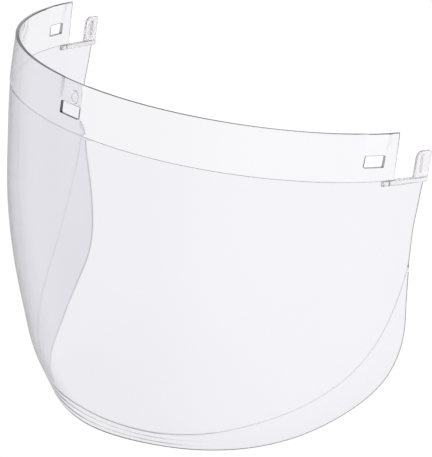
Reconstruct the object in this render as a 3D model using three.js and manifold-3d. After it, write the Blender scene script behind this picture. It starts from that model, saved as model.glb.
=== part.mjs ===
// Clear polycarbonate visor of a face shield, the part that clips to a headgear.
// Millimetres. +Z is up, -Y is the front, +X is the wearer's left.
// The origin is on the brow band's flat top edge, at the front, on the plane of symmetry.
//
// The whole wall lies on one swept surface. A place on it is (along, depth): "along" is the
// arc length from the plane of symmetry round the plan curve, and "depth" is how far it is
// below the top edge. "outward" is a distance off that surface, away from the face.

import * as THREE from 'three';
import { mergeVertices } from 'three/addons/utils/BufferGeometryUtils.js';
import Module from 'manifold-3d';

// ---- driving dimensions ----

const JOINT_GAP = 0.3; // clearance between neighbouring pieces

// Plan curve: heading in radians is a + b + c times the first, third and fifth power of
// the arc length in units of 100 mm, until the wings run straight back.
const PLAN_UNIT = 100;
const HEADING_TERMS = [0.92, -0.08, 0.0087];
const WING_HEADING = THREE.MathUtils.degToRad(83);

// Wall section at the front and how it tucks in: at each depth below the top edge, the
// plan curve moves back by setBack and shrinks inward by inset.
const SECTION = [
  { depth: 0, setBack: 0, inset: 0 },
  { depth: 27, setBack: 1.2, inset: -0.5 },
  { depth: 60, setBack: 7.5, inset: -2 },
  { depth: 100, setBack: 14, inset: -1.5 },
  { depth: 135, setBack: 21, inset: 1.5 },
  { depth: 165, setBack: 24, inset: 9 },
  { depth: 190, setBack: 21.5, inset: 20.5 },
  { depth: 212, setBack: 20.5, inset: 35 },
];

// Brow band: thicker than the wall and proud of it on both faces.
const BAND_HEIGHT = 26.8;
const BAND_REACH = 187.4; // arc length from the middle to each end, at the top edge
const BAND_END_SLANT = 2; // how much further back the ends reach at the lower edge
const BAND_OUT = 0.7;
const BAND_IN = -1.3;

// Peg slots in the band, with a lead-in cut down to each from the top edge, on the inside.
const SLOT_WIDTH = 13.4;
const SLOT_HEIGHT = 6.6;
const SLOT_CORNER = 1;
const SLOT_DEPTH = 15.6; // centre of the slot below the top edge
const SIDE_SLOT_AT = 172.8;
const LEAD_IN_DEPTH = 0.6;

// Window and chin lip.
const WALL_OUT = 0.4;
const WALL_THICKNESS = 1.4;
const WING_REACH = 213;
const WING_TOP = 30.2; // depth of the wing's top edge, under the side rail
const LIP_FLARE = 1.8; // how far the lip's lower edge turns out at the front
const LIP_FLARE_REACH = 80;

// Side rail: a square bar along the wing's top edge.
const RAIL_TOP = 27.1;
const RAIL_HEIGHT = 2.8;
const RAIL_OUT = 0.9;
const RAIL_WIDTH = 3;
const RAIL_END = 216.5;
const RAIL_CORNER = 1.4;

// Rail boss: the round front end of the rail, under the band's end.
const BOSS_AT = 184;
const BOSS_RADIUS = 1.7;
const BOSS_CLEARANCE = 1.6; // from the boss to the step in the window's top edge

// Latch tab: a plate standing on the rail's rear end, which flexes to snap into the headgear.
const TAB_AT = 210.5;
const TAB_WIDTH = 11.4;
const TAB_TOP = 11.7; // depth of the tab's top edge
const TAB_THICKNESS = 1.6;
const TAB_OUT = 0.6;
const TAB_FRONT_CORNER = 4.2;
const TAB_REAR_CORNER = 1.5;

// Tab rib: the stiffener down the middle of the tab's inner face.
const RIB_WIDTH = 1.8;
const RIB_THICKNESS = 1;
const RIB_TOP = 14;
const RIB_FOOT = 25;

// Outlines of the wing and the chin, as (along, depth) on the wearer's left half.
const REAR_EDGE = [[WING_REACH, WING_TOP], [210.5, 43], [207.5, 58], [207.5, 78]];
const LOWER_EDGE = [
  [0, 211], [42, 210], [84, 208.6], [124, 205], [150, 200], [169, 193.5], [187, 184],
  [200.5, 173], [209, 159.5], [213, 142], [213, 122], [210.5, 102], [208, 81],
];
const CREASE = [
  [0, 200], [34, 200], [67, 198], [104, 190.5], [144, 173],
  [168, 156], [182, 141], [195, 120], [203, 100], [207.5, 78],
];

// Facets along each half of the wall and down it. The window's are counted in front of and
// behind the step in its top edge.
const BAND_COLUMNS = 32;
const BAND_ROWS = 2;
const WINDOW_COLUMNS = 27;
const WING_COLUMNS = 5;
const WINDOW_ROWS = 16;
const LIP_COLUMNS = 32;
const LIP_ROWS = 2;

// ---- the swept surface ----

const PLAN_STEP = 1;
const plan = [{ x: 0, y: 0 }];

function headingAt(along) {
  const s = Math.abs(along) / PLAN_UNIT;
  const [a, b, c] = HEADING_TERMS;
  return Math.sign(along) * Math.min(a * s + b * s ** 3 + c * s ** 5, WING_HEADING);
}

for (let along = 0; along < RAIL_END + 2 * PLAN_STEP; along += PLAN_STEP) {
  const heading = headingAt(along + PLAN_STEP / 2);
  const last = plan[plan.length - 1];
  plan.push({
    x: last.x + PLAN_STEP * Math.cos(heading),
    y: last.y + PLAN_STEP * Math.sin(heading),
  });
}

function planPoint(along) {
  const place = Math.abs(along) / PLAN_STEP;
  const i = Math.floor(place);
  const share = place - i;
  return {
    x: Math.sign(along) * THREE.MathUtils.lerp(plan[i].x, plan[i + 1].x, share),
    y: THREE.MathUtils.lerp(plan[i].y, plan[i + 1].y, share),
  };
}

// Smooth curve through the section's stations.
function sectionValue(depth, key) {
  const last = SECTION.length - 1;
  let i = 0;
  while (i < last - 1 && depth > SECTION[i + 1].depth) i += 1;
  const slope = (k) => (SECTION[k + 1][key] - SECTION[k][key])
    / (SECTION[k + 1].depth - SECTION[k].depth);
  const tangent = (k) => (slope(Math.max(k - 1, 0)) + slope(Math.min(k, last - 1))) / 2;
  const span = SECTION[i + 1].depth - SECTION[i].depth;
  const t = (depth - SECTION[i].depth) / span;
  return (2 * t ** 3 - 3 * t ** 2 + 1) * SECTION[i][key]
    + (t ** 3 - 2 * t ** 2 + t) * span * tangent(i)
    + (3 * t ** 2 - 2 * t ** 3) * SECTION[i + 1][key]
    + (t ** 3 - t ** 2) * span * tangent(i + 1);
}

function basePoint(along, depth) {
  const { x, y } = planPoint(along);
  const heading = headingAt(along);
  const inset = sectionValue(depth, 'inset');
  return new THREE.Vector3(
    x - inset * Math.sin(heading),
    y + inset * Math.cos(heading) + sectionValue(depth, 'setBack'),
    -depth,
  );
}

function outwardNormal(along, depth) {
  const step = 0.5;
  const across = basePoint(along + step, depth).sub(basePoint(along - step, depth));
  const down = basePoint(along, depth + step).sub(basePoint(along, depth - step));
  return down.cross(across).normalize();
}

function levelNormal(along) {
  const heading = headingAt(along);
  return new THREE.Vector3(Math.sin(heading), -Math.cos(heading), 0);
}

// ---- solids ----

// Even shares from 0 to 1, and the same mirrored to run from -1 to 1.
const evenShares = (count) => Array.from({ length: count + 1 }, (_, i) => i / count);
const mirrored = (shares) => [...shares.slice(1).map((share) => -share).reverse(), ...shares];

// Closed plate between two faces of the swept surface. place(u, v) gives { along, depth,
// outward } of its outer face; across lists the u of each column from -1 to 1, and down the
// v of each row from 0 to 1. normalAt gives the direction of the thickness.
function sheetGeometry(place, thickness, across, down, normalAt = outwardNormal) {
  const positions = [];
  const indices = [];
  for (const inward of [0, thickness]) {
    for (const v of down) {
      for (const u of across) {
        const { along, depth, outward } = place(u, v);
        const point = basePoint(along, depth);
        point.addScaledVector(normalAt(along, depth), outward - inward);
        positions.push(...point.toArray());
      }
    }
  }
  const right = across.length - 1;
  const bottom = down.length - 1;
  const vertex = (i, j, face) => (face * down.length + j) * across.length + i;
  const quad = (a, b, c, d) => indices.push(a, b, c, a, c, d);
  for (let j = 0; j < bottom; j += 1) {
    for (let i = 0; i < right; i += 1) {
      quad(vertex(i, j, 0), vertex(i, j + 1, 0), vertex(i + 1, j + 1, 0), vertex(i + 1, j, 0));
      quad(vertex(i, j, 1), vertex(i + 1, j, 1), vertex(i + 1, j + 1, 1), vertex(i, j + 1, 1));
    }
    quad(vertex(0, j, 0), vertex(0, j, 1), vertex(0, j + 1, 1), vertex(0, j + 1, 0));
    quad(vertex(right, j, 0), vertex(right, j + 1, 0), vertex(right, j + 1, 1), vertex(right, j, 1));
  }
  for (let i = 0; i < right; i += 1) {
    quad(vertex(i, 0, 0), vertex(i + 1, 0, 0), vertex(i + 1, 0, 1), vertex(i, 0, 1));
    quad(vertex(i, bottom, 0), vertex(i, bottom, 1), vertex(i + 1, bottom, 1), vertex(i + 1, bottom, 0));
  }
  const geometry = new THREE.BufferGeometry();
  geometry.setAttribute('position', new THREE.Float32BufferAttribute(positions, 3));
  geometry.setIndex(indices);
  return geometry;
}

const wasm = await Module();
wasm.setup();

function toManifold(geometry) {
  const bare = geometry.clone();
  bare.deleteAttribute('normal');
  bare.deleteAttribute('uv');
  const merged = mergeVertices(bare, 1e-4);
  return new wasm.Manifold(new wasm.Mesh({
    numProp: 3,
    vertProperties: new Float32Array(merged.attributes.position.array),
    triVerts: new Uint32Array(merged.index.array),
  }));
}

function fromManifold(solid) {
  const mesh = solid.getMesh();
  const geometry = new THREE.BufferGeometry();
  geometry.setAttribute('position', new THREE.BufferAttribute(mesh.vertProperties, 3));
  geometry.setIndex(new THREE.BufferAttribute(mesh.triVerts, 1));
  return geometry;
}

// Upright plate with rounded corners: the outline is drawn in X and Y, the thickness is Z.
// corners are the radii at the lower left, lower right, upper right and upper left.
function plateGeometry(width, height, thickness, corners, steps = 4) {
  const [lowerLeft, lowerRight, upperRight, upperLeft] = corners;
  const x = width / 2;
  const shape = new THREE.Shape();
  shape.moveTo(-x + lowerLeft, 0);
  shape.lineTo(x - lowerRight, 0);
  if (lowerRight) shape.absarc(x - lowerRight, lowerRight, lowerRight, -Math.PI / 2, 0);
  shape.lineTo(x, height - upperRight);
  if (upperRight) shape.absarc(x - upperRight, height - upperRight, upperRight, 0, Math.PI / 2);
  shape.lineTo(-x + upperLeft, height);
  if (upperLeft) {
    shape.absarc(-x + upperLeft, height - upperLeft, upperLeft, Math.PI / 2, Math.PI);
  }
  shape.lineTo(-x, lowerLeft);
  if (lowerLeft) shape.absarc(-x + lowerLeft, lowerLeft, lowerLeft, Math.PI, 1.5 * Math.PI);
  return new THREE.ExtrudeGeometry(shape, {
    depth: thickness, bevelEnabled: false, curveSegments: steps,
  });
}

// A frame on the wall at one place: local X runs along the wall towards +along, local Z is
// outward and local Y is up, leaning with the wall unless normalAt is levelNormal.
function wallFrame(along, depth, normalAt = outwardNormal) {
  const heading = headingAt(along);
  const alongWall = new THREE.Vector3(Math.cos(heading), Math.sin(heading), 0);
  const outward = normalAt(along, depth);
  const up = outward.clone().cross(alongWall);
  return new THREE.Matrix4().makeBasis(alongWall, up, outward)
    .setPosition(basePoint(along, depth));
}

// ---- materials ----

const clearPlastic = (color) => new THREE.MeshStandardMaterial({
  color, roughness: 0.05, metalness: 0, transparent: true, opacity: 0.35,
});
const bandPlastic = clearPlastic(0xdcdce6);
const windowPlastic = clearPlastic(0xe9e9f0);
const lipPlastic = clearPlastic(0xe2e2ea);
const railPlastic = clearPlastic(0xd8d8e0);
const tabPlastic = clearPlastic(0xe4e4e8);

// ---- pieces ----

const visor = new THREE.Group();

function addPiece(name, geometry, material, frame = new THREE.Matrix4()) {
  const mesh = new THREE.Mesh(geometry, material);
  mesh.name = name;
  mesh.applyMatrix4(frame);
  visor.add(mesh);
}

function browBand() {
  const place = (u, v) => ({
    along: u * (BAND_REACH + v * BAND_END_SLANT),
    depth: v * BAND_HEIGHT,
    outward: BAND_OUT,
  });
  const columns = mirrored(evenShares(BAND_COLUMNS));
  const rows = evenShares(BAND_ROWS);
  let band = toManifold(sheetGeometry(place, BAND_OUT - BAND_IN, columns, rows, levelNormal));
  const through = 10; // length of each cutter
  for (const along of [-SIDE_SLOT_AT, 0, SIDE_SLOT_AT]) {
    const corners = Array(4).fill(SLOT_CORNER);
    const slot = plateGeometry(SLOT_WIDTH, SLOT_HEIGHT, through, corners, 3);
    slot.translate(0, -SLOT_HEIGHT / 2, -through / 2);
    slot.applyMatrix4(wallFrame(along, SLOT_DEPTH));
    const leadIn = new THREE.BoxGeometry(SLOT_WIDTH, SLOT_DEPTH + 1, through);
    leadIn.translate(0, (SLOT_DEPTH + 1) / 2, BAND_IN + LEAD_IN_DEPTH - through / 2);
    leadIn.applyMatrix4(wallFrame(along, SLOT_DEPTH));
    band = band.subtract(toManifold(slot)).subtract(toManifold(leadIn));
  }
  addPiece('brow_band', fromManifold(band), bandPlastic);
}

const curveOf = (points) => new THREE.SplineCurve(points.map(([x, y]) => new THREE.Vector2(x, y)));
const rearEdge = curveOf(REAR_EDGE);
const lowerEdge = curveOf(LOWER_EDGE);
const crease = curveOf(CREASE);

// The window's top edge is close under the band, and lower down under the boss and rail.
const WINDOW_STEP_AT = BOSS_AT - BOSS_RADIUS - BOSS_CLEARANCE;

function windowTop(along) {
  return Math.abs(along) < WINDOW_STEP_AT - JOINT_GAP / 2 ? BAND_HEIGHT + JOINT_GAP : WING_TOP;
}

function windowColumns() {
  const { lerp } = THREE.MathUtils;
  const beforeStep = (WINDOW_STEP_AT - JOINT_GAP) / WING_REACH;
  const afterStep = WINDOW_STEP_AT / WING_REACH;
  const front = evenShares(WINDOW_COLUMNS).map((share) => lerp(0, beforeStep, share));
  const back = evenShares(WING_COLUMNS).map((share) => lerp(afterStep, 1, share));
  return mirrored([...front, ...back]);
}

function windowPlace(u, v) {
  const side = Math.sign(u) || 1;
  const a = Math.abs(u);
  const top = new THREE.Vector2(a * WING_REACH, windowTop(a * WING_REACH));
  const bottom = crease.getPointAt(a);
  const chord = rearEdge.getPointAt(0).lerp(rearEdge.getPointAt(1), v);
  const bulge = rearEdge.getPointAt(v).sub(chord);
  const spot = top.lerp(bottom, v).addScaledVector(bulge, a);
  return { along: side * spot.x, depth: spot.y, outward: WALL_OUT };
}

// The lip starts a gap below the crease, and behind it where the crease turns upward.
function lipPlace(u, v) {
  const side = Math.sign(u) || 1;
  const a = Math.abs(u);
  const top = crease.getPointAt(a).add(new THREE.Vector2(JOINT_GAP * a, JOINT_GAP));
  const spot = top.lerp(lowerEdge.getPointAt(a), v);
  const fade = (1 + Math.cos(Math.PI * Math.min(spot.x / LIP_FLARE_REACH, 1))) / 2;
  return {
    along: side * spot.x,
    depth: spot.y,
    outward: WALL_OUT + LIP_FLARE * v * fade,
  };
}

// The rail, boss, tab and rib of one wing. side is 1 on the wearer's left and -1 on the right.
function latch(side, name) {
  const at = (along, depth) => wallFrame(side * along, depth, levelNormal);
  // Corner radii are given as lower front, lower rear, upper rear and upper front.
  const sided = ([a, b, c, d]) => (side > 0 ? [a, b, c, d] : [b, a, d, c]);

  // The rail's outline is drawn in plan, from its outer face inward, and extruded upward.
  const railStart = BOSS_AT + BOSS_RADIUS + JOINT_GAP;
  const railCorners = sided([0, RAIL_CORNER, RAIL_CORNER, 0]);
  const rail = plateGeometry(RAIL_END - railStart, RAIL_WIDTH, RAIL_HEIGHT, railCorners);
  rail.translate(0, -RAIL_OUT, 0);
  rail.rotateX(-Math.PI / 2);
  const railFrame = at((railStart + RAIL_END) / 2, RAIL_TOP + RAIL_HEIGHT);
  addPiece(`${name}_side_rail`, rail, railPlastic, railFrame);

  const boss = new THREE.CylinderGeometry(BOSS_RADIUS, BOSS_RADIUS, RAIL_HEIGHT, 20);
  boss.translate(0, RAIL_HEIGHT / 2, RAIL_OUT - RAIL_WIDTH / 2);
  addPiece(`${name}_rail_boss`, boss, railPlastic, at(BOSS_AT, RAIL_TOP + RAIL_HEIGHT));

  const tabFoot = RAIL_TOP - JOINT_GAP;
  const tabCorners = sided([0, 0, TAB_REAR_CORNER, TAB_FRONT_CORNER]);
  const tab = plateGeometry(TAB_WIDTH, tabFoot - TAB_TOP, TAB_THICKNESS, tabCorners, 6);
  tab.translate(0, 0, TAB_OUT - TAB_THICKNESS);
  addPiece(`${name}_latch_tab`, tab, tabPlastic, at(TAB_AT, tabFoot));

  const ribCorner = 0.45 * RIB_WIDTH;
  const ribCorners = [0, 0, ribCorner, ribCorner];
  const rib = plateGeometry(RIB_WIDTH, RIB_FOOT - RIB_TOP, RIB_THICKNESS, ribCorners);
  rib.translate(0, 0, TAB_OUT - TAB_THICKNESS - JOINT_GAP - RIB_THICKNESS);
  addPiece(`${name}_tab_rib`, rib, tabPlastic, at(TAB_AT, RIB_FOOT));
}

function windowPanel() {
  const columns = windowColumns();
  const rows = evenShares(WINDOW_ROWS);
  addPiece('window', sheetGeometry(windowPlace, WALL_THICKNESS, columns, rows), windowPlastic);
}

function chinLip() {
  const columns = mirrored(evenShares(LIP_COLUMNS));
  const rows = evenShares(LIP_ROWS);
  addPiece('chin_lip', sheetGeometry(lipPlace, WALL_THICKNESS, columns, rows), lipPlastic);
}

browBand();
windowPanel();
chinLip();
latch(1, 'left');
latch(-1, 'right');

export default visor;
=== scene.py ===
"""Clear polycarbonate face shield visor: fine surfaces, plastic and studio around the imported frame."""

import math

import bmesh
import bpy
import numpy as np
from mathutils import Matrix, Vector


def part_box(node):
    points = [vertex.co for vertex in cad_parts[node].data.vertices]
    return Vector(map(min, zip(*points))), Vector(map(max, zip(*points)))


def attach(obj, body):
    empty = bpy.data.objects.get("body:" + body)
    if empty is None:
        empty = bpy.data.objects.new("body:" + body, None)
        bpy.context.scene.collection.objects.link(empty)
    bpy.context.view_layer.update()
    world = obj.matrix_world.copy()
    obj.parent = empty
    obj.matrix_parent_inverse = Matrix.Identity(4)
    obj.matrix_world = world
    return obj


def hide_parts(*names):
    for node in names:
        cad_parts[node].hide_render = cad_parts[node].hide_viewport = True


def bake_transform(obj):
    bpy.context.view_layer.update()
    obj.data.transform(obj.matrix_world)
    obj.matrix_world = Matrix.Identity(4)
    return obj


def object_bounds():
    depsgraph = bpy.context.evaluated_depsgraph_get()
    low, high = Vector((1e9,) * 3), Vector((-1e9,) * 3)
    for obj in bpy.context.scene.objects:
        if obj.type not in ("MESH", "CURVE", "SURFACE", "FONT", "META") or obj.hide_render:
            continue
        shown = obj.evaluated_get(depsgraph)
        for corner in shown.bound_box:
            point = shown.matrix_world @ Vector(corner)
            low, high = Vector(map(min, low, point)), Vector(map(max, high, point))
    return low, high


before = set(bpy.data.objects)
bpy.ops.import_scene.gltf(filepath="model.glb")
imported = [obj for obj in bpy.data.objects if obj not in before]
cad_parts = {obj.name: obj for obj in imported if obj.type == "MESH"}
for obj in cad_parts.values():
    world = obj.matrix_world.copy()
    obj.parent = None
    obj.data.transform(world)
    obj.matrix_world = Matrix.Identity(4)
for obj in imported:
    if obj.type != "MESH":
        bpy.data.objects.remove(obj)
cad_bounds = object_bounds()

# ---- driving dimensions, in millimetres ----

MM = 0.001
LAP = 0.02  # how far neighbouring regions of the one moulding run into each other
SEAM = 0.02  # hairline between a tab and its neighbours, which move apart

# The wall's swept surface, as in the CAD: see heading_at and section_value.
PLAN_UNIT = 100
PLAN_STEP = 0.5
HEADING_TERMS = (0.92, -0.08, 0.0087)  # odd powers of the way along
WING_HEADING = math.radians(83)  # the wings run straight on from here
SECTION_DEPTH = np.array([0, 27, 60, 100, 135, 165, 190, 212.0])
SECTION_SET_BACK = np.array([0, 1.2, 7.5, 14, 21, 24, 21.5, 20.5])
SECTION_INSET = np.array([0, -0.5, -2, -1.5, 1.5, 9, 20.5, 35])

BAND_HEIGHT = -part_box("brow_band")[0].z / MM
BAND_REACH = 187.4
BAND_END_SLANT = 2  # how much farther its lower corner reaches
BAND_END_FROM = 181  # where that slant begins, past the side slots
BAND_OUT = 0.7
BAND_IN = -1.3

SLOT_WIDTH = 13.4
SLOT_HEIGHT = 6.6
SLOT_CORNER = 0.5
SLOT_DEPTH = 15.6
SIDE_SLOT_AT = 172.8
SLOTS_AT = np.array([-SIDE_SLOT_AT, 0, SIDE_SLOT_AT])
LEAD_IN_DEPTH = 0.6
LEAD_IN_RAMP = 0.75  # share of that depth that it loses by the slot's middle
LEAD_IN_DRAFT = 3.5  # how far its sides slope

WALL_OUT = 0.4
WALL_THICKNESS = 1.4
WING_REACH = 213
WING_TOP = 29.9
WING_STEP_AT = 180.6
LIP_FLARE = 1.8
LIP_FLARE_REACH = 80
LIP_RIPPLE = 0.18  # shallow waves left inside the lip by its forming
LIP_RIPPLES = 3
LIP_RIPPLE_REACH = (125, 75)  # where they fade out, and where they are whole

RING_AT = (2.5, 7.9)
RING_SIZE = (2.2, 3)  # half of its width and of its height
RING_RIDGE = 0.5  # half of the ridge's width

RAIL_TOP = 27.1
RAIL_HEIGHT = 2.8
RAIL_OUT = 0.9
RAIL_WIDTH = 3
RAIL_START = 186
RAIL_END = 216.5
RAIL_CORNER = 1.4
BOSS_AT = 184
BOSS_RADIUS = 1.7

TAB_AT = 210.5
TAB_WIDTH = 11.4
TAB_TOP = 11.7
TAB_THICKNESS = 1.6
TAB_OUT = 0.6
TAB_FRONT_CORNER = 4.2
TAB_REAR_CORNER = 1.5
RIB_WIDTH = 1.8
RIB_THICKNESS = 1
RIB_TOP = 14
RIB_FOOT = 25

# Outlines on the wearer's left half, as (along, depth).
REAR_EDGE = [(213, 30.2), (210.5, 43), (207.5, 58), (207.5, 78)]
LOWER_EDGE = [
    (0, 211), (42, 210), (84, 208.6), (124, 205), (150, 200), (169, 193.5), (187, 184),
    (200.5, 173), (209, 159.5), (213, 142), (213, 122), (210.5, 102), (208, 81),
]
CREASE = [
    (0, 200), (34, 200), (67, 198), (104, 190.5), (144, 173),
    (168, 156), (182, 141), (195, 120), (203, 100), (207.5, 78),
]

EDGE_FILLET = 0.2  # rims of the wall
BAND_FILLET = 0.2  # small corners of the thicker band
BAND_END_ROUND = 0.75
BAND_TOP_ROUND = (0.1, 0.7)  # its top rim, sharper in the middle and rounder at both ends
BAND_TOP_SPREAD = (60, 150)  # how far from the middle it turns from one to the other
DETAIL_FILLET = 0.45  # rails, bosses, tabs and ribs
SLOT_FILLET = 0.35
SEAM_FILLET = 0.05


# ---- the swept surface ----

def heading_at(along):
    """Heading of the plan curve, in radians away from straight across the face."""
    s = np.abs(along) / PLAN_UNIT
    a, b, c = HEADING_TERMS
    return np.sign(along) * np.minimum(a * s + b * s**3 + c * s**5, WING_HEADING)


def plan_table():
    """The plan curve by summing short straight steps, for the wearer's left half."""
    stations = np.arange(0, RAIL_END + 10, PLAN_STEP)
    heading = heading_at(stations[:-1] + PLAN_STEP / 2)
    x = np.concatenate([[0], np.cumsum(PLAN_STEP * np.cos(heading))])
    y = np.concatenate([[0], np.cumsum(PLAN_STEP * np.sin(heading))])
    return stations, x, y


PLAN_STATIONS, PLAN_X, PLAN_Y = plan_table()


def section_value(depth, values):
    """Smooth curve through the section's stations."""
    depth = np.asarray(depth, float)
    last = len(values) - 1
    slope = np.diff(values) / np.diff(SECTION_DEPTH)
    tangent = (slope[np.maximum(np.arange(last + 1) - 1, 0)]
               + slope[np.minimum(np.arange(last + 1), last - 1)]) / 2
    i = np.clip(np.searchsorted(SECTION_DEPTH, depth) - 1, 0, last - 1)
    span = SECTION_DEPTH[i + 1] - SECTION_DEPTH[i]
    t = (depth - SECTION_DEPTH[i]) / span
    return ((2 * t**3 - 3 * t**2 + 1) * values[i]
            + (t**3 - 2 * t**2 + t) * span * tangent[i]
            + (3 * t**2 - 2 * t**3) * values[i + 1]
            + (t**3 - t**2) * span * tangent[i + 1])


def base_point(along, depth):
    """Point of the wall's base surface, that far along the curve and below the top edge."""
    heading = heading_at(along)
    inset = section_value(depth, SECTION_INSET)
    x = np.sign(along) * np.interp(np.abs(along), PLAN_STATIONS, PLAN_X)
    y = np.interp(np.abs(along), PLAN_STATIONS, PLAN_Y)
    return np.stack([
        x - inset * np.sin(heading),
        y + inset * np.cos(heading) + section_value(depth, SECTION_SET_BACK),
        -depth,
    ], -1)


def level_normal(along, depth):
    """Outward and level, for the band and the fittings, which stand upright."""
    heading = heading_at(along)
    return np.stack([np.sin(heading), -np.cos(heading), np.zeros_like(heading)], -1)


def outward_normal(along, depth):
    step = 0.5
    across = base_point(along + step, depth) - base_point(along - step, depth)
    down = base_point(along, depth + step) - base_point(along, depth - step)
    normal = np.cross(down, across)
    return normal / np.linalg.norm(normal, axis=-1, keepdims=True)


def spline_points(points):
    """Even steps along a Catmull-Rom curve, as a function of the share of its length."""
    points = np.array(points, float)
    last = len(points) - 1
    place = np.linspace(0, last, 40 * last + 1)
    i = np.minimum(place.astype(int), last - 1)
    t = (place - i)[:, None]
    before, start = points[np.maximum(i - 1, 0)], points[i]
    end, after = points[i + 1], points[np.minimum(i + 2, last)]
    leave, arrive = (end - before) / 2, (after - start) / 2
    curve = ((2 * start - 2 * end + leave + arrive) * t**3
             + (-3 * start + 3 * end - 2 * leave - arrive) * t**2 + leave * t + start)
    length = np.concatenate([[0], np.cumsum(np.linalg.norm(np.diff(curve, axis=0), axis=1))])
    length /= length[-1]
    return lambda share: np.stack([np.interp(share, length, curve[:, k]) for k in (0, 1)], -1)


rear_edge = spline_points(REAR_EDGE)
lower_edge = spline_points(LOWER_EDGE)
crease = spline_points(CREASE)


# ---- mesh making: every piece is made flat, filleted, and then bent onto the surface ----
# Flat coordinates are x = along, y = outward and z = minus the depth.

def both_halves(shares):
    """Shares of the wearer's left half, with the right half's before them as negatives."""
    shares = np.asarray(shares, float)
    return np.concatenate([-shares[:0:-1], shares])


def bend(mesh, normal_at):
    """Moves flat vertices onto the swept surface."""
    count = len(mesh.vertices)
    flat = np.zeros(count * 3)
    mesh.vertices.foreach_get("co", flat)
    flat = flat.reshape(-1, 3)
    along, outward, depth = flat[:, 0], flat[:, 1], -flat[:, 2]
    points = base_point(along, depth) + normal_at(along, depth) * outward[:, None]
    mesh.vertices.foreach_set("co", (points * MM).ravel())
    mesh.update()


def finish_piece(name, bm, normal_at, body, nodes, *materials):
    """Bends the flat mesh, and makes it a piece that rides on body and replaces the nodes."""
    bmesh.ops.recalc_face_normals(bm, faces=bm.faces)
    bmesh.ops.reverse_faces(bm, faces=bm.faces)  # bending turns the flat frame inside out
    mesh = bpy.data.meshes.new(name)
    bm.to_mesh(mesh)
    bm.free()
    bend(mesh, normal_at)
    for material in materials:
        mesh.materials.append(material)
    mesh.shade_smooth()
    mesh.set_sharp_from_angle(angle=math.radians(50))
    piece = bpy.data.objects.new(name, mesh)
    bpy.context.scene.collection.objects.link(piece)
    weighted = piece.modifiers.new("even_normals", "WEIGHTED_NORMAL")
    weighted.keep_sharp = True
    weighted.weight = 100
    if body:  # a tab and its rib are attached to no body
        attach(piece, body)
    if nodes:
        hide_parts(*nodes)
    return piece


FACES, RIM = 0, 1  # material indices of a sheet: its faces, and its free edges


def slab(columns, rows, place, hollow=None):
    """Closed sheet over a grid. place(u, v) gives (along, depth, outer, inner), and hollow(along,
    depth) is true for a cell to leave open."""
    u, v = np.meshgrid(columns, rows, indexing="ij")
    along, depth, outer, inner = place(u, v)
    across, down = len(columns) - 1, len(rows) - 1
    bm = bmesh.new()
    faces = []
    for offset in (outer, inner):
        verts = np.empty(u.shape, object)
        for i, j in np.ndindex(u.shape):
            verts[i, j] = bm.verts.new((along[i, j], offset[i, j], -depth[i, j]))
        faces.append(verts)
    out, back = faces

    def middle(grid, i, j):
        return grid[i:i + 2, j:j + 2].mean()

    solid = np.ones((across, down), bool)
    if hollow:
        for i, j in np.ndindex(solid.shape):
            solid[i, j] = not hollow(middle(along, i, j), middle(depth, i, j))

    def is_solid(i, j):
        return 0 <= i < across and 0 <= j < down and solid[i, j]

    for i, j in np.argwhere(solid):
        bm.faces.new((out[i, j], out[i, j + 1], out[i + 1, j + 1], out[i + 1, j]))
        bm.faces.new((back[i, j], back[i + 1, j], back[i + 1, j + 1], back[i, j + 1]))
        sides = (
            ((i, j - 1), (i, j), (i + 1, j)),
            ((i, j + 1), (i, j + 1), (i + 1, j + 1)),
            ((i - 1, j), (i, j), (i, j + 1)),
            ((i + 1, j), (i + 1, j), (i + 1, j + 1)),
        )
        for neighbour, a, b in sides:
            if not is_solid(*neighbour):
                bm.faces.new((out[a], out[b], back[b], back[a])).material_index = RIM
    loose = [vert for vert in bm.verts if not vert.link_faces]
    bmesh.ops.delete(bm, geom=loose, context="VERTS")
    bmesh.ops.recalc_face_normals(bm, faces=bm.faces)
    return bm


def fillet(bm, chosen, radius, segments=2):
    """Rounds the edges for which chosen(edge) is true."""
    edges = [edge for edge in bm.edges if chosen(edge)]
    if edges:
        bmesh.ops.bevel(
            bm, geom=edges, offset=radius, offset_type="OFFSET", segments=segments,
            profile=0.5, affect="EDGES", clamp_overlap=True,
        )


def is_sharp(edge, least=math.radians(60)):
    return len(edge.link_faces) == 2 and edge.calc_face_angle(0) > least


def fillet_rims(bm, seam_at, radius=EDGE_FILLET):
    """Rounds the sheet's rims: hardly where seam_at(along, depth) says that the next region of
    the moulding meets it, and by radius elsewhere. A seam takes the material of the faces."""
    def at_seam(edge):
        middle = (edge.verts[0].co + edge.verts[1].co) / 2
        return seam_at(middle.x, -middle.z)

    for face in bm.faces:
        middle = face.calc_center_median()
        if seam_at(middle.x, -middle.z):
            face.material_index = FACES
    fillet(bm, lambda edge: is_sharp(edge) and not at_seam(edge), radius, 4)
    fillet(bm, lambda edge: is_sharp(edge) and at_seam(edge), SEAM_FILLET, 1)


def prism(outline, place, start, end):
    """Closed plate: outline is a list of (a, b), and place(a, b, c) gives its flat coordinates at
    both ends c of its thickness."""
    bm = bmesh.new()
    ends = [[bm.verts.new(place(a, b, c)) for a, b in outline] for c in (start, end)]
    bm.faces.new(ends[0])
    bm.faces.new(ends[1][::-1])
    count = len(outline)
    for i in range(count):
        k = (i + 1) % count
        bm.faces.new((ends[0][i], ends[1][i], ends[1][k], ends[0][k]))
    bmesh.ops.recalc_face_normals(bm, faces=bm.faces)
    return bm


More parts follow.
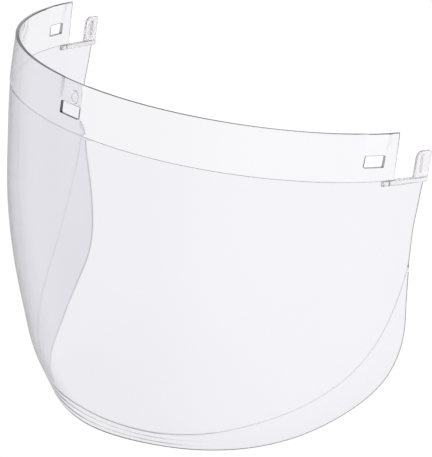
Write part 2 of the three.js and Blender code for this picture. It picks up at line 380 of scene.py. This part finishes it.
def rounded_outline(left, right, low, high, corners, steps=8):
    """Rectangle with the given radii at its low left, low right, high right and high left."""
    places = [(left, low, 1, 1), (right, low, -1, 1), (right, high, -1, -1), (left, high, 1, -1)]
    outline = []
    for (x, y, inward_x, inward_y), radius, quarter in zip(places, corners, (2, 3, 0, 1)):
        if radius == 0:
            outline.append((x, y))
            continue
        cx, cy = x + inward_x * radius, y + inward_y * radius
        for k in range(steps + 1):
            angle = (quarter + k / steps) * math.pi / 2
            outline.append((cx + radius * math.cos(angle), cy + radius * math.sin(angle)))
    return outline


# ---- materials ----

REFRACTIVE_INDEX = 1.586
ABSORPTION_MARGIN = 1.25  # keeps the volume's colour away from black
WAVE_DEPTH = 0.0005  # metres
# Base colours of the rims' painted light: painted shade in the middle of the visor, painted light toward
# its ends
EDGE_PAINTED_SHADE = (0.035, 0.03, 0.05)
EDGE_PAINTED_LIGHT = (0.5, 0.5, 0.52)
EDGE_SHADE_FADE = (0.07, 0.12)  # metres from the middle, where the rims' painted shade turns to painted light
EDGE_GRAIN = 0.3


def principled(name):
    """New material with its nodes, its links and its shader."""
    material = bpy.data.materials.new(name)
    material.use_nodes = True
    tree = material.node_tree
    return material, tree.nodes, tree.links, tree.nodes["Principled BSDF"]


def noise(nodes, scale, detail):
    texture = nodes.new("ShaderNodeTexNoise")
    texture.inputs["Scale"].default_value = scale
    texture.inputs["Detail"].default_value = detail
    return texture


def clear_plastic(name, tint, absorbed, roughness=(0, 0.05), waviness=0.02, clarity=1):
    """Refracting plastic with a volume that takes light, uneven haze and a gentle waviness."""
    material, nodes, links, shader = principled(name)
    shader.inputs["Base Color"].default_value = (*tint, 1)
    shader.inputs["Transmission Weight"].default_value = clarity
    shader.inputs["IOR"].default_value = REFRACTIVE_INDEX

    depth = nodes.new("ShaderNodeVolumeAbsorption")
    density = max(absorbed) * ABSORPTION_MARGIN
    depth.inputs["Density"].default_value = density
    depth.inputs["Color"].default_value = (*(1 - lost / density for lost in absorbed), 1)
    links.new(depth.outputs["Volume"], nodes["Material Output"].inputs["Volume"])

    place = nodes.new("ShaderNodeTexCoord")
    haze = noise(nodes, scale=9, detail=3)
    rough = nodes.new("ShaderNodeMapRange")
    rough.inputs["To Min"].default_value = roughness[0]
    rough.inputs["To Max"].default_value = roughness[1]
    ripple = noise(nodes, scale=22, detail=1)
    bump = nodes.new("ShaderNodeBump")
    bump.inputs["Strength"].default_value = waviness
    bump.inputs["Distance"].default_value = WAVE_DEPTH
    links.new(place.outputs["Object"], haze.inputs["Vector"])
    links.new(place.outputs["Object"], ripple.inputs["Vector"])
    links.new(haze.outputs["Fac"], rough.inputs["Value"])
    links.new(rough.outputs["Result"], shader.inputs["Roughness"])
    links.new(ripple.outputs["Fac"], bump.inputs["Height"])
    links.new(bump.outputs["Normal"], shader.inputs["Normal"])
    return material


def painted_shade_edge():
    """The cut rims of a clear sheet, dull, with painted light in their base colour: painted shade in the
    middle of the visor and painted light toward its ends. It stands in for the dark and light lines that
    refracted light makes in a real rim."""
    material, nodes, links, shader = principled("polycarbonate_edge_painted_shade")
    shader.inputs["Roughness"].default_value = 0.45
    shader.inputs["IOR"].default_value = REFRACTIVE_INDEX
    place = nodes.new("ShaderNodeTexCoord")
    grain = noise(nodes, scale=60, detail=4)
    spot = nodes.new("ShaderNodeSeparateXYZ")
    aside = nodes.new("ShaderNodeMath")
    aside.operation = "ABSOLUTE"
    fade = nodes.new("ShaderNodeMapRange")
    fade.inputs["From Min"].default_value = EDGE_SHADE_FADE[0]
    fade.inputs["From Max"].default_value = EDGE_SHADE_FADE[1]
    mottled = nodes.new("ShaderNodeMath")
    mottled.operation = "MULTIPLY_ADD"
    mottled.inputs[1].default_value = EDGE_GRAIN
    # ramp from the rims' painted shade to their painted light, by distance from the middle
    painted_tone = nodes.new("ShaderNodeValToRGB")
    painted_tone.color_ramp.elements[0].color = (*EDGE_PAINTED_SHADE, 1)
    painted_tone.color_ramp.elements[1].color = (*EDGE_PAINTED_LIGHT, 1)
    links.new(place.outputs["Object"], grain.inputs["Vector"])
    links.new(place.outputs["Object"], spot.inputs["Vector"])
    links.new(spot.outputs["X"], aside.inputs[0])
    links.new(aside.outputs["Value"], fade.inputs["Value"])
    links.new(grain.outputs["Fac"], mottled.inputs[0])
    links.new(fade.outputs["Result"], mottled.inputs[2])
    links.new(mottled.outputs["Value"], painted_tone.inputs["Fac"])
    links.new(painted_tone.outputs["Color"], shader.inputs["Base Color"])
    return material


# material of the rims, with painted shade and painted light in its base colour
painted_shade_edge_plastic = painted_shade_edge()

# Each with its tint, and the rate per metre at which its inside takes red, green and blue light.
detail_plastic = clear_plastic("clear_polycarbonate_detail", (0.985, 0.97, 0.985), (4, 4, 4),
                               roughness=(0.1, 0.3), clarity=0.65)
band_plastic = clear_plastic("clear_polycarbonate_band", (0.955, 0.95, 0.96), (42, 43, 36))
wall_plastic = clear_plastic("clear_polycarbonate", (0.915, 0.91, 0.93), (55, 57, 46))


# ---- pieces ----

COLUMN_REACH = 186
COLUMN_STEP = 2
ROUND_STEPS = 6
LEAD_IN_STEPS = 7
LEAD_IN_CLEARANCE = 0.7  # nearest that an even column may come to a sloping side
BAND_ROWS = (4, 8)  # plain rows between the top rim and the slots
SLOT_EDGES_BELOW = 4
CORNER_STEPS = 4
WINDOW_COLUMNS = (90, 17)  # on each half, to the wing's step and past it
WINDOW_ROWS = 60
LIP_COLUMNS = 110
LIP_ROWS = 26
LIP_SEAM_REACH = 1.6  # a rim this near to the crease is a seam
WING_SEAM_REACH = 207  # the window's lower edge meets the lip this far along
WING_TOP_CLEAR = 5  # and only this far below the wings' top
RING_STEPS = (48, 12)  # round the oval, and round the ridge
BOSS_SIDES = 32
RIB_TIP = 0.45  # radius of its rounded top, as a share of its width


def band_columns():
    """Even columns, closer ones round both ends, and a fan over each side of a lead-in."""
    ends = BAND_REACH - BAND_END_ROUND * (1 - np.cos(np.linspace(0, math.pi / 2, ROUND_STEPS)))
    even = np.arange(-COLUMN_REACH, COLUMN_REACH + COLUMN_STEP / 2, COLUMN_STEP)
    columns = np.concatenate([-ends, even, ends])
    for centre in SLOTS_AT:
        for side in (-1, 1):
            edge = centre + side * SLOT_WIDTH / 2
            slope = np.linspace(edge, edge + side * LEAD_IN_DRAFT, LEAD_IN_STEPS)
            before = columns < slope.min() - LEAD_IN_CLEARANCE
            after = columns > slope.max() + LEAD_IN_CLEARANCE
            columns = np.concatenate([columns[before | after], slope])
    return np.sort(columns)


def band_rows():
    """From -1 to 0 round the top rim, then depths down to the step."""
    slot = [SLOT_DEPTH - SLOT_HEIGHT / 2, SLOT_DEPTH + SLOT_HEIGHT / 2]
    round_rim = np.linspace(-1, 0, ROUND_STEPS)
    return np.array([*round_rim, *BAND_ROWS, slot[0] - 1, *slot, BAND_HEIGHT - 2, BAND_HEIGHT])


def smooth_step(low, high, value):
    t = np.clip((value - low) / (high - low), 0, 1)
    return t * t * (3 - 2 * t)


def brow_band():
    def place(u, v):
        """v is the depth, and below 0 it goes from -1 to 0 round the top rim's quarter circle."""
        from_slot = np.abs(u[..., None] - SLOTS_AT).min(-1) - SLOT_WIDTH / 2
        ramp = 1 - LEAD_IN_RAMP * np.clip(v / SLOT_DEPTH, 0, 1)
        lead_in = np.clip(1 - from_slot / LEAD_IN_DRAFT, 0, 1) * ramp * (v < SLOT_DEPTH)
        past = np.clip((np.abs(u) - BAND_END_FROM) / (BAND_REACH - BAND_END_FROM), 0, 1)
        along = u + np.sign(u) * past * BAND_END_SLANT * np.maximum(v, 0) / BAND_HEIGHT
        low, high = BAND_TOP_ROUND
        radius = low + (high - low) * smooth_step(*BAND_TOP_SPREAD, np.abs(u))
        turn = np.clip(v + 1, 0, 1) * math.pi / 2
        depth = np.where(v > 0, v, radius * (1 - np.cos(turn)))
        from_corner = np.clip(BAND_END_ROUND - (BAND_REACH - np.abs(u)), 0, BAND_END_ROUND)
        end_shrink = BAND_END_ROUND - np.sqrt(BAND_END_ROUND**2 - from_corner**2)
        shrink = np.maximum(radius * (1 - np.sin(turn)), end_shrink)
        return along, depth, BAND_OUT - shrink, BAND_IN + LEAD_IN_DEPTH * lead_in + shrink

    def hollow(along, depth):
        in_width = np.abs(along - SLOTS_AT).min() < SLOT_WIDTH / 2
        return in_width and abs(depth - SLOT_DEPTH) < SLOT_HEIGHT / 2

    def at_slot(edge):
        end = edge.verts[0].co
        in_depth = SLOT_EDGES_BELOW < -end.z < BAND_HEIGHT - 1
        return is_sharp(edge) and in_depth and abs(end.x) < BAND_END_FROM

    def slot_corner(edge):
        return at_slot(edge) and abs(edge.verts[0].co.y - edge.verts[1].co.y) > 1

    bm = slab(band_columns(), band_rows(), place, hollow)
    fillet(bm, slot_corner, SLOT_CORNER, CORNER_STEPS)
    fillet(bm, at_slot, SLOT_FILLET)
    fillet_rims(bm, lambda along, depth: depth > BAND_HEIGHT - 1 and abs(along) < WING_STEP_AT,
                BAND_FILLET)
    finish_piece("brow_band_moulding", bm, level_normal, "shield", ["brow_band"],
                 band_plastic, painted_shade_edge_plastic)


def flat_faces(u):
    """Outer and inner face of the wall."""
    return np.full_like(u, WALL_OUT), np.full_like(u, WALL_OUT - WALL_THICKNESS)


def window_wall():
    step = WING_STEP_AT / WING_REACH
    to_step, past_step = WINDOW_COLUMNS
    columns = both_halves([*np.linspace(0, step, to_step), *np.linspace(step, 1, past_step)[1:]])
    strips = np.array([0, 0.5])  # between the band's edge and the wings' lower top
    rows = np.concatenate([strips, 1 + np.linspace(0, 1, WINDOW_ROWS)])

    def place(u, v):
        side = np.where(u < 0, -1, 1)
        a = np.abs(u)
        start = np.stack([a * WING_REACH, np.full_like(a, WING_TOP - LAP)], -1)
        end = crease(a)
        down = np.clip(v - 1, 0, 1)
        chord = rear_edge(0) + (rear_edge(1) - rear_edge(0)) * down[..., None]
        bulge = rear_edge(down) - chord
        spot = start + (end - start) * down[..., None] + bulge * a[..., None]
        rise = np.clip(1 - v, 0, 1) * (WING_TOP - BAND_HEIGHT)
        return side * spot[..., 0], spot[..., 1] - rise, *flat_faces(u)

    def above_wing(along, depth):
        return abs(along) > WING_STEP_AT and depth < WING_TOP - LAP

    def at_seam(along, depth):
        at_band = depth < BAND_HEIGHT + 1 and abs(along) < WING_STEP_AT
        at_lip = abs(along) < WING_SEAM_REACH and depth > WING_TOP + WING_TOP_CLEAR
        return at_band or at_lip

    bm = slab(columns, rows, place, above_wing)
    fillet_rims(bm, at_seam)
    finish_piece("window_wall", bm, outward_normal, "shield", ["window"],
                 wall_plastic, painted_shade_edge_plastic)


def chin_lip():
    def place(u, v):
        side = np.where(u < 0, -1, 1)
        a = np.abs(u)
        top = crease(a) - np.stack([LAP * a, np.full_like(a, LAP)], -1)
        spot = top + (lower_edge(a) - top) * v[..., None]
        fade = (1 + np.cos(np.pi * np.minimum(spot[..., 0] / LIP_FLARE_REACH, 1))) / 2
        flare = LIP_FLARE * v * fade
        ripple = LIP_RIPPLE * (1 - np.cos(2 * np.pi * LIP_RIPPLES * v)) / 2
        ripple *= smooth_step(*LIP_RIPPLE_REACH, spot[..., 0])
        outer, inner = flat_faces(u)
        return side * spot[..., 0], spot[..., 1], outer + flare, inner + flare - ripple

    shares = np.linspace(0, 1, LIP_COLUMNS)
    top_edge = crease(shares)

    def at_seam(along, depth):
        apart = np.linalg.norm(top_edge - np.array([abs(along), depth]), axis=-1)
        return apart.min() < LIP_SEAM_REACH

    bm = slab(both_halves(shares), np.linspace(0, 1, LIP_ROWS), place)
    fillet_rims(bm, at_seam)
    finish_piece("chin_lip_wall", bm, outward_normal, "shield", ["chin_lip"],
                 wall_plastic, painted_shade_edge_plastic)


def ring_mark():
    """Low oval ridge moulded on the outside of the band, above the centre slot."""
    bm = bmesh.new()
    round_it, across = RING_STEPS
    rings = []
    for i in range(round_it):
        turn = 2 * math.pi * i / round_it
        ring = []
        for k in range(across):
            angle = 2 * math.pi * k / across
            spread = 1 + RING_RIDGE * math.cos(angle) / RING_SIZE[0]
            ring.append(bm.verts.new((
                RING_AT[0] + RING_SIZE[0] * spread * math.cos(turn),
                BAND_OUT - LAP + RING_RIDGE / 2 * (1 + math.sin(angle)),
                -RING_AT[1] - RING_SIZE[1] * spread * math.sin(turn),
            )))
        rings.append(ring)
    for i in range(round_it):
        for k in range(across):
            here, there = rings[i], rings[(i + 1) % round_it]
            after = (k + 1) % across
            bm.faces.new((here[k], there[k], there[after], here[after]))
    finish_piece("centre_ring_mark", bm, level_normal, "shield", [], band_plastic)


def latch(side, name):
    """The rail, boss, tab and rib of one wing. side is 1 on the wearer's left, -1 on the right."""
    def in_plan(a, b, c):
        return side * a, b, -c

    def on_wall(a, b, c):
        return side * a, c, -b

    rail = prism(
        rounded_outline(RAIL_START, RAIL_END, RAIL_OUT - RAIL_WIDTH, RAIL_OUT,
                        (0, RAIL_CORNER, RAIL_CORNER, 0)),
        in_plan, RAIL_TOP, RAIL_TOP + RAIL_HEIGHT,
    )
    fillet(rail, is_sharp, DETAIL_FILLET)
    finish_piece(f"{name}_side_rail_bar", rail, level_normal, "shield",
                 [f"{name}_side_rail"], detail_plastic)

    middle = RAIL_OUT - RAIL_WIDTH / 2
    turns = [2 * math.pi * k / BOSS_SIDES for k in range(BOSS_SIDES)]
    circle = [(BOSS_AT + BOSS_RADIUS * math.cos(turn),
               middle + BOSS_RADIUS * math.sin(turn)) for turn in turns]
    boss = prism(circle, in_plan, RAIL_TOP, RAIL_TOP + RAIL_HEIGHT)
    fillet(boss, is_sharp, DETAIL_FILLET)
    finish_piece(f"{name}_rail_boss_stud", boss, level_normal, "shield",
                 [f"{name}_rail_boss"], detail_plastic)

    # The outline is drawn with depth growing upward in it, so its low side is the tab's top.
    tab = prism(
        rounded_outline(TAB_AT - TAB_WIDTH / 2, TAB_AT + TAB_WIDTH / 2, TAB_TOP, RAIL_TOP - SEAM,
                        (TAB_FRONT_CORNER, TAB_REAR_CORNER, 0, 0)),
        on_wall, TAB_OUT, TAB_OUT - TAB_THICKNESS,
    )
    fillet(tab, is_sharp, DETAIL_FILLET)
    flexing(finish_piece(f"{name}_latch_tab_plate", tab, level_normal, None,
                         [f"{name}_latch_tab"], detail_plastic))

    inner = TAB_OUT - TAB_THICKNESS - SEAM
    tip = RIB_TIP * RIB_WIDTH
    rib = prism(
        rounded_outline(TAB_AT - RIB_WIDTH / 2, TAB_AT + RIB_WIDTH / 2, RIB_TOP, RIB_FOOT,
                        (tip, tip, 0, 0)),
        on_wall, inner, inner - RIB_THICKNESS,
    )
    fillet(rib, is_sharp, DETAIL_FILLET)
    flexing(finish_piece(f"{name}_tab_rib_bar", rib, level_normal, None,
                         [f"{name}_tab_rib"], detail_plastic))


def flexing(piece):
    """Bakes the piece's placement into its mesh; the piece is not bent."""
    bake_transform(piece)


brow_band()
ring_mark()
window_wall()
chin_lip()
latch(1, "left")
latch(-1, "right")


# ---- studio ----


def toward(azimuth, elevation=0):
    """Direction of a place in the studio. Azimuth 0 is +X and 90 is +Y."""
    a, e = math.radians(azimuth), math.radians(elevation)
    return math.cos(a) * math.cos(e), math.sin(a) * math.cos(e), math.sin(e)


DARK_SIDE = toward(150, -20)
BRIGHT_SIDE = toward(0, -20)
OVERHEAD_LIGHT = 0.6
DARK_LIGHT = 0.58
BRIGHT_LIGHT = 1.6
FLOOR_REACH = 12
FLOOR_GAP = 0.0005
FLOOR_COLOUR = (0.15, 0.15, 0.15, 1)
FLOOR_GLOW = 0.92  # brings the floor up to white


def studio_world():
    """White round the horizon and grey overhead. Below the horizon the floor hides it from all but
    reflections, and there it is dark on one side and bright on the other, as in a studio with
    a flag and a softbox."""
    world = bpy.data.worlds.new("studio")
    bpy.context.scene.world = world
    world.use_nodes = True
    nodes, links = world.node_tree.nodes, world.node_tree.links
    direction = nodes.new("ShaderNodeTexCoord").outputs["Generated"]

    def share(axis, low, high, at_low, at_high):
        """Goes from at_low to at_high as the view turns toward axis."""
        dot = nodes.new("ShaderNodeVectorMath")
        dot.operation = "DOT_PRODUCT"
        dot.inputs[1].default_value = axis
        ramp = nodes.new("ShaderNodeMapRange")
        ramp.interpolation_type = "SMOOTHSTEP"
        for name, value in zip(("From Min", "From Max", "To Min", "To Max"),
                               (low, high, at_low, at_high)):
            ramp.inputs[name].default_value = value
        links.new(direction, dot.inputs[0])
        links.new(dot.outputs["Value"], ramp.inputs["Value"])
        return ramp.outputs["Result"]

    def combine(operation, a, b):
        node = nodes.new("ShaderNodeMath")
        node.operation = operation
        for socket, value in zip(node.inputs, (a, b)):
            if isinstance(value, float):
                socket.default_value = value
            else:
                links.new(value, socket)
        return node.outputs["Value"]

    up = (0, 0, 1)
    overhead = share(up, 0.5, 1, 1.0, OVERHEAD_LIGHT)
    dark = share(DARK_SIDE, 0.75, 0.97, 1.0, DARK_LIGHT)
    bright = share(BRIGHT_SIDE, 0.3, 1, 1.0, BRIGHT_LIGHT)
    under = share(up, -0.1, -0.02, 1.0, 0.0)
    below = combine("MULTIPLY", dark, bright)
    change = combine("MULTIPLY", combine("SUBTRACT", below, 1.0), under)
    light = combine("ADD", overhead, change)
    links.new(light, nodes["Background"].inputs["Strength"])
    nodes["Background"].inputs["Color"].default_value = (1, 1, 1, 1)


def studio():
    studio_world()
    mesh = bpy.data.meshes.new("floor")
    low = cad_bounds[0].z - FLOOR_GAP
    signs = ((-1, -1), (1, -1), (1, 1), (-1, 1))
    corners = [(FLOOR_REACH * x, FLOOR_REACH * y, low) for x, y in signs]
    mesh.from_pydata(corners, [], [(0, 1, 2, 3)])
    floor = bpy.data.objects.new("floor", mesh)
    bpy.context.scene.collection.objects.link(floor)
    material, _, _, shader = principled("pale_floor")
    shader.inputs["Base Color"].default_value = FLOOR_COLOUR
    shader.inputs["Roughness"].default_value = 1
    shader.inputs["Specular IOR Level"].default_value = 0
    shader.inputs["Emission Color"].default_value = (1, 1, 1, 1)
    shader.inputs["Emission Strength"].default_value = FLOOR_GLOW
    mesh.materials.append(material)
    floor.visible_glossy = False  # the plastic mirrors the studio below the horizon instead
    bpy.context.scene.view_settings.view_transform = "Standard"


# ---- camera ----

CAMERA_AZIMUTH = math.radians(37.61)
CAMERA_ELEVATION = math.radians(19.73)
CAMERA_ROLL = math.radians(10.7)
CAMERA_PLACE = Vector((0.07344, -0.07586, 0.92863))  # right, up and back from the band's front
CAMERA_LENS = 141.95


def camera():
    a, e, r = CAMERA_AZIMUTH, CAMERA_ELEVATION, CAMERA_ROLL
    back = Vector((math.sin(a) * math.cos(e), -math.cos(a) * math.cos(e), math.sin(e)))
    level = Vector((math.cos(a), math.sin(a), 0))
    rise = back.cross(level)
    right = math.cos(r) * level + math.sin(r) * rise
    up = -math.sin(r) * level + math.cos(r) * rise
    turn = Matrix((right, up, back)).transposed()
    data = bpy.data.cameras.new("camera")
    data.lens = CAMERA_LENS
    data.clip_start = 0.01
    eye = bpy.data.objects.new("camera", data)
    bpy.context.scene.collection.objects.link(eye)
    origin = Vector((0, -BAND_OUT * MM, 0))
    eye.matrix_world = Matrix.Translation(turn @ CAMERA_PLACE + origin) @ turn.to_4x4()
    bpy.context.scene.camera = eye


studio()
camera()
